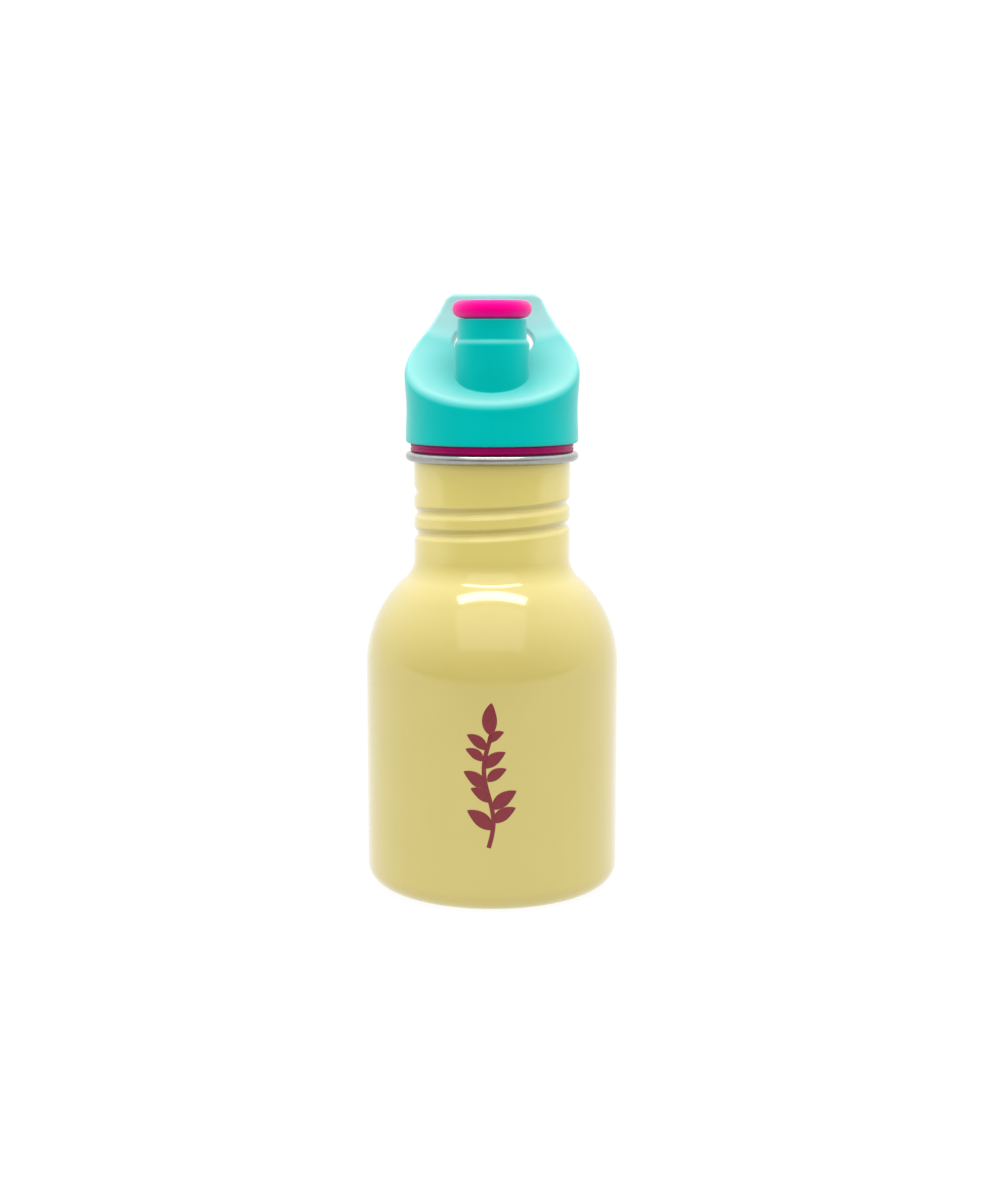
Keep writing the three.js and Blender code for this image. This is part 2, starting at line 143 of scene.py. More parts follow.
def rounded(corners, steps=5, hold=0.35):
    """A closed section from corners (r, z, edge radius). Straight runs get points near their
    ends, so that smooth shading stays flat on them."""
    count = len(corners)
    arcs = []
    for i, (r, z, radius) in enumerate(corners):
        here = np.array([r, z], float)
        back = np.array(corners[i - 1][:2], float) - here
        ahead = np.array(corners[(i + 1) % count][:2], float) - here
        back_length, ahead_length = np.linalg.norm(back), np.linalg.norm(ahead)
        back, ahead = back / back_length, ahead / ahead_length
        angle = math.acos(float(np.clip(back @ ahead, -1, 1)))
        if radius <= 0 or angle > math.pi - 0.02:
            arcs.append([here])
            continue
        cut = min(radius / math.tan(angle / 2), 0.48 * back_length, 0.48 * ahead_length)
        real = cut * math.tan(angle / 2)
        middle = here + (back + ahead) / np.linalg.norm(back + ahead) * real / math.sin(angle / 2)
        first, last = here + back * cut - middle, here + ahead * cut - middle
        spread = math.acos(float(np.clip(first @ last / (real * real), -1, 1)))
        points = []
        for k in range(steps + 1):
            t = k / steps
            mix = math.sin((1 - t) * spread) * first + math.sin(t * spread) * last
            points.append(middle + mix / math.sin(spread))
        arcs.append(points)
    section = []
    for i, points in enumerate(arcs):
        section.extend(points)
        start, end = points[-1], arcs[(i + 1) % count][0]
        length = np.linalg.norm(end - start)
        if length > 4 * hold:
            along = (end - start) / length
            section += [start + along * hold, end - along * hold]
    return [(float(p[0]), float(p[1])) for p in section]


def new_object(name, points, faces, smooth=True):
    """A mesh object from millimetre points."""
    mesh = bpy.data.meshes.new(name)
    mesh.from_pydata((np.asarray(points, float) * MM).tolist(), [], faces)
    mesh.polygons.foreach_set("use_smooth", [smooth] * len(mesh.polygons))
    mesh.update()
    made = bpy.data.objects.new(name, mesh)
    bpy.context.scene.collection.objects.link(made)
    return made


def turned(name, section, segments=192, closed=True, move=None):
    """A section, walked with the material on its left, turned about Z. move(angle, r, z) gives
    how far each point goes out from the axis."""
    section = [p for i, p in enumerate(section) if i == 0 or math.dist(p, section[i - 1]) > 0.001]
    if closed and math.dist(section[0], section[-1]) < 0.001:
        section.pop()
    r = np.array([p[0] for p in section])
    z = np.array([p[1] for p in section])
    angle = np.linspace(0, 2 * np.pi, segments, endpoint=False)
    radius, height = np.repeat(r[:, None], segments, 1), np.repeat(z[:, None], segments, 1)
    turn = np.repeat(angle[None], len(r), 0)
    if move is not None:
        radius = radius + move(turn, radius, height)
    points = np.stack([radius * np.cos(turn), radius * np.sin(turn), height], -1).reshape(-1, 3)
    faces = []
    rows = len(section)
    for i in range(rows if closed else rows - 1):
        k = (i + 1) % rows
        for j in range(segments):
            n = (j + 1) % segments
            corners = [i * segments + j, i * segments + n, k * segments + n, k * segments + j]
            if r[i] < ON_AXIS:
                corners = [i * segments, corners[2], corners[3]]
            elif r[k] < ON_AXIS:
                corners = [corners[0], corners[1], k * segments]
            faces.append(tuple(corners))
    made = new_object(name, points, faces)
    if r.min() < ON_AXIS:
        drop_loose(made)
    return made


def drop_loose(obj):
    """Deletes points that no face uses."""
    mesh = obj.data
    used = np.zeros(len(mesh.vertices), bool)
    for face in mesh.polygons:
        used[list(face.vertices)] = True
    number = np.cumsum(used) - 1
    points = np.array([v.co for v in mesh.vertices])[used]
    faces = [tuple(int(number[v]) for v in face.vertices) for face in mesh.polygons]
    mesh.clear_geometry()
    mesh.from_pydata(points.tolist(), [], faces)
    mesh.polygons.foreach_set("use_smooth", [True] * len(mesh.polygons))
    mesh.update()


# ---------------------------------------------------------------- thread
def smoothstep(t):
    t = np.clip(t, 0, 1)
    return t * t * (3 - 2 * t)


def thread_share(angle, z, start, start_height, turns, half_width):
    """How strongly a thread is present: 1 on its crest line, 0 away from it."""
    degrees = np.degrees(angle) % 360
    best = np.zeros_like(z)
    for turn in range(-1, int(turns) + 3):
        along = degrees - start + 360 * turn
        off = np.abs(z - (start_height + PITCH * along / 360)) / half_width
        from_end = np.minimum(along, turns * 360 - along) / GROOVE_FADE
        share = 0.5 * (1 + np.cos(np.pi * np.clip(off, 0, 1))) * smoothstep(from_end)
        best = np.maximum(best, share)
    return best


GROOVE_HEIGHT = LIP_TOP - GROOVE_LOW
THREAD_LOW = GROOVE_HEIGHT - GROOVE_HALF_WIDTH
THREAD_HIGH = GROOVE_HEIGHT + GROOVE_TURNS * PITCH + GROOVE_HALF_WIDTH


def neck_groove(angle, r, z):
    """The thread rolled into the neck pushes its whole wall inwards."""
    on_neck = (np.abs(r - NECK_RADIUS) < WALL + 0.1) & (z > THREAD_LOW - 1) & (z < THREAD_HIGH + 1)
    share = thread_share(angle, z, GROOVE_START, GROOVE_HEIGHT, GROOVE_TURNS, GROOVE_HALF_WIDTH)
    return np.where(on_neck, -GROOVE_DEPTH * share, 0)


# ---------------------------------------------------------------- bottle
def shell_path(inset):
    """The bottle's wall from the turned-up edge under it to the top of the neck."""
    ring_inner = BODY_RADIUS - FOOT_RADIUS - FOOT_RING
    foot = BODY_RADIUS - FOOT_RADIUS
    centre = BODY_RADIUS - SHOULDER_RADIUS
    out = NECK_RADIUS + SHOULDER_FILLET
    up = math.sqrt((SHOULDER_RADIUS + SHOULDER_FILLET) ** 2 - (out - centre) ** 2)
    slope = math.degrees(math.atan2(up, out - centre))
    heights = np.arange(THREAD_LOW - 1, THREAD_HIGH + 1, POINT_STEP)
    return [
        (ring_inner - CURL_RADIUS + inset, CURL_RADIUS + CURL_RISE),
        *arc(ring_inner, CURL_RADIUS, CURL_RADIUS - inset, 180, 270, 8),
        *arc(foot, FOOT_RADIUS, FOOT_RADIUS - inset, 270, 360, 14),
        *[(BODY_RADIUS - inset, z) for z in np.linspace(8, SIDE_TOP - 4, 9)],
        *arc(centre, SIDE_TOP, SHOULDER_RADIUS - inset, 0, slope, 40),
        *arc(out, SIDE_TOP + up, SHOULDER_FILLET + inset, 180 + slope, 180, 14),
        *[(NECK_RADIUS - inset, z) for z in heights],
    ]


def bottle_steel():
    """Bare steel: the lip, the inside and the metal under the paint."""
    bead_radius = NECK_RADIUS + LIP_BEAD * 0.67
    bead_height = LIP_TOP - LIP_BEAD
    entry = bead_radius - (NECK_RADIUS - WALL)
    under = math.degrees(math.acos((bead_radius - NECK_RADIUS + PAINT) / LIP_BEAD))
    section = [
        *shell_path(PAINT),
        *arc(bead_radius, bead_height, LIP_BEAD, under - 180, 90, 22),
        *arc(bead_radius, LIP_TOP - entry, entry, 90, 180, 10),
        *reversed(shell_path(WALL)),
    ]
    return turned("bottle_steel", section, 256, move=neck_groove)


def bottle_paint():
    """The enamel coat, from the turned-up edge under the bottle to just below the lip."""
    edge = LIP_TOP - PAINT_EDGE
    path = [p for p in shell_path(0) if p[1] < edge - 0.5]
    under = [p for p in shell_path(PAINT + 0.02) if p[1] < edge - 0.5]
    rim = [(NECK_RADIUS, edge - 0.3), (NECK_RADIUS - 0.03, edge), (NECK_RADIUS - PAINT, edge + 0.05)]
    return turned("bottle_paint", [*path, *rim, *reversed(under)], 256, move=neck_groove)


def base_disc():
    low, high = disc_low, disc_high
    rim = high[0]
    plate = CURL_RADIUS + CURL_RISE - WALL
    dome = high[2] - plate - WALL
    reach = rim - 4

    def dished(height):
        return [
            (r, height + dome * 0.5 * (1 + math.cos(math.pi * r / reach)))
            for r in np.linspace(0, reach, 24)
        ]

    return turned("base_plate", [
        *dished(plate),
        *arc(rim - WALL - 1.2, plate - 1.2, 1.2, 90, 0, 6),
        (rim - WALL, low[2]),
        (rim, low[2]),
        *arc(rim - WALL - 1.2, plate - 1.2, 1.2 + WALL, 0, 90, 8),
        *reversed(dished(plate + WALL)),
    ], 192, closed=False)


def seal_ring():
    """Gasket, squeezed between the lip and the cap."""
    low, high = LIP_TOP + 0.02, CAP_BASE - 0.02
    outer = ring_high[0]
    inner = outer - 2.3
    middle = (low + high) / 2 + 0.1
    return turned("gasket", rounded([
        (inner, low, 0.2), (outer - 0.1, low, 0.4), (outer, middle - 0.35, 0.1),
        (outer - 0.28, middle, 0.12), (outer, middle + 0.35, 0.1), (outer - 0.1, high, 0.4),
        (inner, high, 0.2),
    ]), 256)


# ---------------------------------------------------------------- plug
def plug_ridge(angle, r, z):
    """The plug's thread runs half a pitch above the neck's groove."""
    low = plug_low[2] + RIDGE_HALF_WIDTH + RIDGE_START
    turns_up = (low - GROOVE_HEIGHT - PITCH / 2) / PITCH
    share = thread_share(angle, z, GROOVE_START + 360 * turns_up, low, RIDGE_TURNS, RIDGE_HALF_WIDTH)
    return np.where(np.abs(r - PLUG_ROOT) < 0.05, RIDGE_HEIGHT * share, 0)


def thread_plug():
    root = PLUG_ROOT
    inner = root - PLUG_WALL
    low, top = plug_low[2], plug_high[2]
    plate = NECK_RADIUS - WALL / 4
    walls = [(root, z) for z in np.arange(low + 0.8, low + 24, POINT_STEP)]
    post, stopper = 2.6, 3.2
    section = [
        (0, CAP_BASE), (inner - 0.8, CAP_BASE),
        *arc(inner - 0.8, CAP_BASE - 0.8, 0.8, 90, 0, 5),
        (inner, low + 0.4), *arc(inner + 0.4, low + 0.4, 0.4, 180, 270, 4),
        *arc(root - 0.8, low + 0.8, 0.8, 270, 360, 6)[:-1],
        *walls, (root, CAP_BASE - 0.02), (plate - 0.3, CAP_BASE),
        *arc(plate - 0.3, CAP_BASE + 0.3, 0.3, 270, 360, 4),
        *arc(plate - 0.3, PLATE_TOP - 0.3, 0.3, 0, 90, 4),
        *arc(post + 0.8, PLATE_TOP + 0.8, 0.8, 270, 180, 6),
        (post, top - 5), (post, top - 4.2), (stopper, top - 3.4), (stopper, top - 1),
        *arc(stopper - 1, top - 1, 1, 0, 90, 8), (0, top),
    ]
    plug = turned("plug", section, 192, closed=False, move=plug_ridge)
    for i in range(3):
        cut_through(plug, flow_hole(math.pi / 2 + i * 2 * math.pi / 3))
    plug.data.set_sharp_from_angle(angle=math.radians(50))
    return plug


def flow_hole(middle):
    """Cutter for one kidney-shaped flow hole round the post."""
    inner, outer, half = 4.2, LOWER_BORE - 1, math.radians(40)
    angles = np.linspace(middle - half, middle + half, 20)
    outline = [(outer * math.cos(a), outer * math.sin(a)) for a in angles]
    outline += [(inner * math.cos(a), inner * math.sin(a)) for a in reversed(angles)]
    count = len(outline)
    points = [(x, y, z) for z in (CAP_BASE - 1, PLATE_TOP + 1) for x, y in outline]
    faces = [(i, (i + 1) % count, count + (i + 1) % count, count + i) for i in range(count)]
    faces += [tuple(reversed(range(count))), tuple(range(count, 2 * count))]
    return new_object("cutter", points, faces, smooth=False)


def cut_through(obj, cutter):
    """Takes the cutter's volume out of obj and deletes the cutter."""
    step = obj.modifiers.new("cut", "BOOLEAN")
    step.operation = "DIFFERENCE"
    step.object = cutter
    step.solver = "EXACT"
    graph = bpy.context.evaluated_depsgraph_get()
    cut = bpy.data.meshes.new_from_object(obj.evaluated_get(graph))
    obj.modifiers.clear()
    obj.data = cut
    bpy.data.objects.remove(cutter)


def vent_valve():
    low, high = valve_low, valve_high
    centre = (low[1] + high[1]) / 2
    under, over = CAP_BASE - 0.02, PLATE_TOP + 0.02
    disc, stem, head = high[0], 1.6, 2.4
    valve = turned("air_valve", [
        (0, low[2]), (disc * 0.5, low[2]), (disc - 0.3, under - 0.5),
        *arc(disc - 0.25, under - 0.25, 0.25, 300, 420, 5), (disc - 0.4, under), (stem, under),
        (stem, over), (head - 0.2, over), *arc(head - 0.2, over + 0.4, 0.35, 300, 420, 5),
        (stem * 0.6, high[2] - 0.1), (0, high[2]),
    ], 64, closed=False)
    valve.data.transform(Matrix.Translation((0, centre * MM, 0)))
    return valve


# ---------------------------------------------------------------- nozzle and mouthpiece
def nozzle():
    low, top = nozzle_low[2], nozzle_high[2]
    ring = (o_ring_low[2] + o_ring_high[2]) / 2
    groove = 1.1
    floor = o_ring_high[0] - 1.6 - GAP
    flange_top = ring + groove + 1.0
    return turned("nozzle_tube", rounded([
        (NOZZLE_BORE, low, 0.4), (FLANGE_RADIUS, low, 0.3), (FLANGE_RADIUS, ring - groove, 0.2),
        (floor, ring - groove, 0.2), (floor, ring + groove, 0.2),
        (FLANGE_RADIUS, ring + groove, 0.2), (FLANGE_RADIUS, flange_top, 0.3),
        (STEM_RADIUS, flange_top, 0.3), (STEM_RADIUS, top, 0.5), (3.5, top, 0.2),
        (3.5, top - 1.2, 0.2), (NOZZLE_BORE, top - 2.0, 0.6),
    ]), 160)


def o_ring():
    section = 0.8
    middle = (o_ring_low[2] + o_ring_high[2]) / 2
    return turned("nozzle_seal", arc(o_ring_high[0] - section, middle, section, -90, 270, 20), 128)


def mouthpiece():
    """Soft tip: full round sides, a shallow dished top and a rounded mouth."""
    low, high = tip_low[2], tip_high[2]
    outer, edge = tip_high[0], 2.4
    pocket = STEM_RADIUS + 0.05
    foot = SPOUT_RADIUS - 0.6
    mouth = 3.8
    ceiling = nozzle_high[2] + 0.05
    return turned("mouthpiece_tip", [
        (pocket, ceiling), (pocket, low + 0.25), (pocket + 0.2, low),
        (foot - 0.2, low), (foot, low + 0.08),
        *arc(outer - edge, low + edge + 0.1, edge, -72, 0, 14),
        *arc(outer - edge, high - edge, edge, 0, 84, 18),
        (outer - edge - 1.6, high - 0.06), (mouth + 1.5, high - 0.42),
        *arc(mouth + 0.6, high - 1.05, 0.6, 80, 180, 8), (mouth, ceiling),
    ], 192)


# ---------------------------------------------------------------- cap, as a distance field
RIM_SHARES = [
    (-1.08, -0.039), (-0.8, 0.034), (-0.45, 0.142), (-0.12, 0.27), (0.2, 0.404), (0.46, 0.53),
    (0.64, 0.652), (0.755, 0.786), (0.815, 0.888), (0.87, 1.026),
]


def rim_curve(samples=24):
    """The cap's rim seen from the side, as (y, z) points on a Catmull-Rom curve."""
    rise = CAP_TOP - CAP_BASE - FRONT_HEIGHT
    knots = np.array([(a * SKIRT_RADIUS, CAP_BASE + FRONT_HEIGHT + b * rise) for a, b in RIM_SHARES])
    padded = np.vstack([knots[0], knots, knots[-1]])
    points = []
    for i in range(len(knots) - 1):
        p0, p1, p2, p3 = padded[i:i + 4]
        for t in np.arange(samples) / samples:
            v0, v1 = (p2 - p0) / 2, (p3 - p1) / 2
            points.append((2 * p1 - 2 * p2 + v0 + v1) * t**3
                          + (-3 * p1 + 3 * p2 - 2 * v0 - v1) * t**2 + v0 * t + p1)
    points.append(knots[-1])
    return np.array(points)


RIM = rim_curve()


def rim_table(step=0.25, reach=30.0):
    """Signed distance to the rim curve on a (y, z) grid: positive in front of it and above."""
    y = np.arange(-reach, reach, step)
    z = np.arange(CAP_BASE - 6, CAP_TOP + 6, step)
    grid = np.stack(np.meshgrid(y, z, indexing="ij"), -1)
    best = np.full(grid.shape[:2], 1e9)
    signed = np.zeros_like(best)
    ends = RIM.copy()
    ends[-1] += (RIM[-1] - RIM[-2]) * 200
    ends[0] += (RIM[0] - RIM[1]) * 200
    for a, b in zip(ends[:-1], ends[1:]):
        along = b - a
        off = grid - a
        t = np.clip((off @ along) / (along @ along), 0, 1)
        gap = off - t[..., None] * along
        distance = np.hypot(gap[..., 0], gap[..., 1])
        side = along[0] * off[..., 1] - along[1] * off[..., 0]
        nearer = distance < best
        best = np.where(nearer, distance, best)
        signed = np.where(nearer, np.where(side > 0, distance, -distance), signed)
    return y[0], z[0], step, signed


RIM_Y0, RIM_Z0, RIM_STEP, RIM_SIGNED = rim_table()


def rim_distance(y, z):
    """Bilinear look-up in the rim's distance table."""
    u = np.clip((y - RIM_Y0) / RIM_STEP, 0, RIM_SIGNED.shape[0] - 1.001)
    v = np.clip((z - RIM_Z0) / RIM_STEP, 0, RIM_SIGNED.shape[1] - 1.001)
    i, j = u.astype(int), v.astype(int)
    fu, fv = u - i, v - j
    low = RIM_SIGNED[i, j] * (1 - fu) + RIM_SIGNED[i + 1, j] * fu
    high = RIM_SIGNED[i, j + 1] * (1 - fu) + RIM_SIGNED[i + 1, j + 1] * fu
    return low * (1 - fv) + high * fv


def both(a, b, radius):
    """Inside both shapes, with the edge between them rounded; the radius may vary by place."""
    return np.minimum(np.maximum(a, b), -radius) + np.hypot(
        np.maximum(a + radius, 0), np.maximum(b + radius, 0))


def either(a, b, radius):
    """Inside either shape, with the corner between them filled by a fillet."""
    return np.maximum(np.minimum(a, b), radius) - np.hypot(
        np.maximum(radius - a, 0), np.maximum(radius - b, 0))


def skirt_radius(z):
    waist = CAP_BASE + FRONT_HEIGHT * 0.82
    flare = CAP_BASE + FRONT_HEIGHT * 1.7
    down = smoothstep((z - CAP_BASE) / (waist - CAP_BASE))
    out = smoothstep((z - waist) / (flare - waist))
    return SKIRT_RADIUS - SKIRT_WAIST * down + (SKIRT_WAIST + SKIRT_FLARE) * out


def rim_across(height):
    return float(RIM[np.argmin(np.abs(RIM[:, 1] - height)), 0])


HOLE_LOW = CAP_BASE + FINGER_FLOOR
HOLE_HIGH = CAP_TOP - TOP_BAR
HOLE_MIDDLE = (HOLE_LOW + HOLE_HIGH) / 2
HOLE_ACROSS = rim_across(HOLE_MIDDLE)
HOLE_HALF_HEIGHT = (HOLE_HIGH - HOLE_LOW) / 2
OUTER_RADIUS = SKIRT_RADIUS + SKIRT_FLARE
HOLE_HALF_WIDTH = math.sqrt(OUTER_RADIUS**2 - HOLE_ACROSS**2) - SIDE_BAR
RIM_GROW = 0.35  # the rim's rounding takes this much off the outline, so the sweep stands up by it
RIM_GROW_FRONT = 0.8  # a little more at the low front
RIM_GROW_TOP = 0.65  # and at the top of the handle
EDGE_SLOPE = 0.57  # the handle narrows by this much per millimetre up to its top corners
EDGE_BOW = 0.03  # and widens faster than that lower down
EDGE_ALLOWANCE = 1.2  # room for the rounding of the top corners
EDGE_COS = 1 / math.hypot(1, EDGE_SLOPE)
EDGE_TOP = math.sqrt(OUTER_RADIUS**2 - rim_across(CAP_TOP) ** 2)


def finger_hole(x, y, z):
    """Oval tunnel through the handle, running down towards the back."""
    axis = HOLE_MIDDLE - (y - HOLE_ACROSS) * math.tan(FINGER_TILT)
    a, b = HOLE_HALF_WIDTH, HOLE_HALF_HEIGHT
    w = (z - axis) * math.cos(FINGER_TILT)
    k0 = np.hypot(x / a, w / b)
    k1 = np.hypot(x / a**2, w / b**2)
    oval = k0 * (k0 - 1) / np.maximum(k1, 1e-9)
    return np.maximum(oval, BOSS_RADIUS * 0.4 - y)


STEP_ANGLE = math.atan2(BOSS_RADIUS - SPOUT_RADIUS, STEP_HEIGHT * 0.6)
STEP_COS, STEP_SIN = math.cos(STEP_ANGLE), math.sin(STEP_ANGLE)


def spout_column(r, z):
    """Two-step spout tube, from outside."""
    slope = (r - SPOUT_RADIUS) * STEP_COS + (z - BOSS_TOP) * STEP_SIN
    boss = both(r - BOSS_RADIUS, slope, 0.45)
    neck = both(r - SPOUT_RADIUS, z - SPOUT_TOP, 0.4)
    column = either(boss, neck, 0.25)
    return np.maximum(column, CAP_BASE + FRONT_HEIGHT - 1 - z)


def roof_ceiling(y):
    inner = SKIRT_INNER - 0.6
    front = CAP_BASE + FRONT_HEIGHT - 3
    return np.interp(
        y, [-inner - 2, -inner * 0.09, inner * 0.25, inner + 2],
        [front, front + 5.7, CAP_BASE + FINGER_FLOOR - 5, CAP_BASE + FINGER_FLOOR - 6.2])


def cap_distance(x, y, z):
    """Signed distance to the cap's surface, in millimetres."""
    r = np.hypot(x, y)
    column = both(r - skirt_radius(z), CAP_BASE - z, SKIRT_CORNER)
    share = np.clip(1 - (r / SKIRT_RADIUS) ** 2, 0, 1)
    back = smoothstep((y + 4) / 18)
    grow = RIM_GROW + RIM_GROW_FRONT * (1 - back) + RIM_GROW_TOP * smoothstep((z - CAP_TOP + 26) / 24)
    sweep = rim_distance(y, z) + DISH * share - grow * (1 - share)
    edge = 3.0 - 1.7 * back
    body = both(column, sweep, edge)
    spread = EDGE_SLOPE * (CAP_TOP - z) + EDGE_BOW * np.maximum(CAP_TOP - 5 - z, 0) ** 2
    sides = (np.abs(x) - EDGE_TOP - EDGE_ALLOWANCE - spread) * EDGE_COS
    outline = both(sides, z - CAP_TOP, HANDLE_CORNER)
    body = both(body, outline, 1.0)
    body = both(body, -finger_hole(x, y, z), 1.0)
    body = either(body, spout_column(r, z), 0.25)
    seat = np.maximum(r - SKIRT_INNER, z - PLATE_TOP - GAP)
    body = both(body, -seat, 0.3)
    hollow = both(both(z - roof_ceiling(y), r - SKIRT_INNER + 0.6, 1.0), BOSS_RADIUS + GAP - r, 0.8)
    body = both(body, -hollow, 0.25)
    bore = np.minimum(np.maximum(r - LOWER_BORE, z - BORE_STEP), r - UPPER_BORE)
    return both(body, -bore, 0.3)


def surface_of(distance, low, high, step):
    """Surface nets: one point in each grid cell that the surface crosses, moved onto it."""
    axes = [np.arange(low[k], high[k] + step, step) for k in range(3)]
    value = distance(*np.meshgrid(*axes, indexing="ij", sparse=True))
    inside = value < 0
    cells = tuple(n - 1 for n in inside.shape)
    total = np.zeros(cells + (3,))
    count = np.zeros(cells)
    crossings = []
    for axis in range(3):
        start = [slice(None)] * 3
        end = [slice(None)] * 3
        start[axis], end[axis] = slice(0, -1), slice(1, None)
        a, b = value[tuple(start)], value[tuple(end)]
        crossed = (a < 0) != (b < 0)
        at = np.argwhere(crossed)
        t = a[crossed] / (a[crossed] - b[crossed])
        point = at.astype(float)
        point[:, axis] += t
        crossings.append((at, inside[tuple(start)][crossed]))
        others = [k for k in range(3) if k != axis]
        for du in (0, 1):
            for dv in (0, 1):
                cell = at.copy()
                cell[:, others[0]] -= du
                cell[:, others[1]] -= dv
                fits = ((cell >= 0) & (cell < np.array(cells))).all(1)
                index = tuple(cell[fits].T)
                np.add.at(total, index, point[fits])
                np.add.at(count, index, 1)
    filled = count > 0
    number = np.full(cells, -1)
    number[filled] = np.arange(filled.sum())
    points = total[filled] / count[filled][:, None] * step + np.array([a[0] for a in axes])
    faces = []
    for axis, (at, solid_first) in enumerate(crossings):
        u, v = [(1, 2), (2, 0), (0, 1)][axis]
        around = []
        for du, dv in ((0, 0), (-1, 0), (-1, -1), (0, -1)):
            cell = at.copy()
            cell[:, u] += du
            cell[:, v] += dv
            around.append(number[tuple(cell.T)])
        quads = np.stack(around, 1)
        quads[~solid_first] = quads[~solid_first][:, ::-1]
        faces.append(quads)
    return onto_surface(distance, points, step), np.vstack(faces)


def onto_surface(distance, points, step):
    """Moves points along the distance's slope until they lie on the surface."""
    start = points.copy()
    small = 0.02
    for _ in range(4):
        value = distance(*points.T)
        slope = np.empty_like(points)
        for k in range(3):
            ahead, behind = points.copy(), points.copy()
            ahead[:, k] += small
            behind[:, k] -= small
            slope[:, k] = (distance(*ahead.T) - distance(*behind.T)) / (2 * small)
        length = np.maximum((slope**2).sum(1), 0.2)
        points = points - slope * (value / length)[:, None]
    far = np.linalg.norm(points - start, axis=1) > step
    points[far] = start[far]
    return points


def cap_shell():
    step = 0.3
    reach = OUTER_RADIUS + 0.8
    low = (-reach + 0.013, -reach + 0.017, CAP_BASE - 0.81)
    high = (reach, reach, CAP_TOP + 0.8)
    points, quads = surface_of(cap_distance, low, high, step)
    return new_object("cap", points, [tuple(int(v) for v in q) for q in quads])


# ---------------------------------------------------------------- print on the front
PRINT_LOW, PRINT_HIGH = 19.0, 60.0


def strip(points, faces, line, half_width, steps, across=6):
    """Adds one stroke of the print: line(t) gives (s, z), half_width(t) its half width."""
    base = len(points)
    inner, outer = BODY_RADIUS - 0.04, BODY_RADIUS + 0.03
    ts = np.linspace(0, 1, steps + 1)
    centre = np.array([line(t) for t in ts])
    tangent = np.gradient(centre, axis=0)
    tangent /= np.linalg.norm(tangent, axis=1)[:, None]
    normal = np.stack([tangent[:, 1], -tangent[:, 0]], 1)
    for radius in (outer, inner):
        for i, t in enumerate(ts):
            for j in range(across + 1):
                s, z = centre[i] + normal[i] * half_width(t) * (1 - 2 * j / across)
                a = s / BODY_RADIUS
                points.append((radius * math.sin(a), -radius * math.cos(a), z))
    rows, columns = steps + 1, across + 1
    layer = rows * columns

    def at(side, i, j):
        return base + side * layer + i * columns + j

    for i in range(steps):
        for j in range(across):
            faces.append((at(0, i, j), at(0, i + 1, j), at(0, i + 1, j + 1), at(0, i, j + 1)))
            faces.append((at(1, i, j), at(1, i, j + 1), at(1, i + 1, j + 1), at(1, i + 1, j)))
        faces.append((at(0, i, 0), at(1, i, 0), at(1, i + 1, 0), at(0, i + 1, 0)))
        faces.append((at(0, i, across), at(0, i + 1, across), at(1, i + 1, across), at(1, i, across)))
    for j in range(across):
        faces.append((at(0, 0, j), at(0, 0, j + 1), at(1, 0, j + 1), at(1, 0, j)))
        faces.append((at(0, steps, j), at(1, steps, j), at(1, steps, j + 1), at(0, steps, j + 1)))


def front_print():
    """A generic leaf sprig, printed up the front of the body."""
    points, faces = [], []
    low, high = PRINT_LOW, PRINT_HIGH

    def stem(t):
        return 1.3 * math.sin(2.2 * math.pi * t), low + (high - 9 - low) * t

    strip(points, faces, stem, lambda t: 0.62, 48, 4)

    def leaf(start, angle, length, width):
        direction = np.array([math.sin(angle), math.cos(angle)])
        side = np.array([direction[1], -direction[0]])

        def line(t):
            bow = 0.5 * math.sin(math.pi * t) * (1 if angle > 0 else -1)
            return tuple(np.array(start) + direction * length * t - side * bow)

        strip(points, faces, line, lambda t: 0.05 + width * math.sin(math.pi * t**0.85) ** 0.8, 22)

    for k, t in enumerate((0.16, 0.34, 0.52, 0.70, 0.86)):
        s, z = stem(t)
        side = 1 if k % 2 else -1
        leaf((s + side * 0.3, z), side * math.radians(52), 8.6 - 0.5 * k, 2.0 - 0.12 * k)
        leaf((s - side * 0.3, z + 2.0), -side * math.radians(56), 7.2 - 0.5 * k, 1.7 - 0.12 * k)
    leaf(stem(0.985), math.radians(1), 9.0, 2.0)
    return new_object("front_print", points, faces)


# ---------------------------------------------------------------- materials
def linear(r, g, b):
    """sRGB 0-255 to linear."""
    return tuple(
        c / 255 / 12.92 if c / 255 <= 0.04045 else ((c / 255 + 0.055) / 1.055) ** 2.4
        for c in (r, g, b)
    ) + (1.0,)


# Painted light and shade on the plastic, mixed into its base colour:
TOP_LIGHT_FACING = (0.2, 0.8)  # painted top light comes in over this upward part of the normal
TOP_LIGHT_SHARE = 0.6
HANDLE_BACKLIGHT_SHARE = 1.1
PLASTIC = (0.0, 0.51, 0.475, 1.0)
PLASTIC_DEEP = (0.0, 0.485, 0.45, 1.0)
# colour of the painted light on the cap's plastic
PLASTIC_LIT = (0.38, 0.635, 0.615, 1.0)
# the plug's own two colours, then the colour of its painted light
PLUG_COLORS = (0.0, 0.5, 0.46, 1.0), (0.0, 0.47, 0.43, 1.0), (0.1, 0.56, 0.52, 1.0)
PAINT_COLORS = (0.60, 0.495, 0.132, 1.0), (0.585, 0.482, 0.127, 1.0)
# Painted light at the neck and painted shade under the thread, mixed into the paint's colour:
PAINT_NECK_LIT = (0.72, 0.605, 0.165, 1.0)
PAINT_THREAD_SHADE = (0.53, 0.43, 0.085, 1.0)
TIP_COLORS = (1.0, 0.0, 0.26, 1), (0.95, 0.0, 0.25, 1)


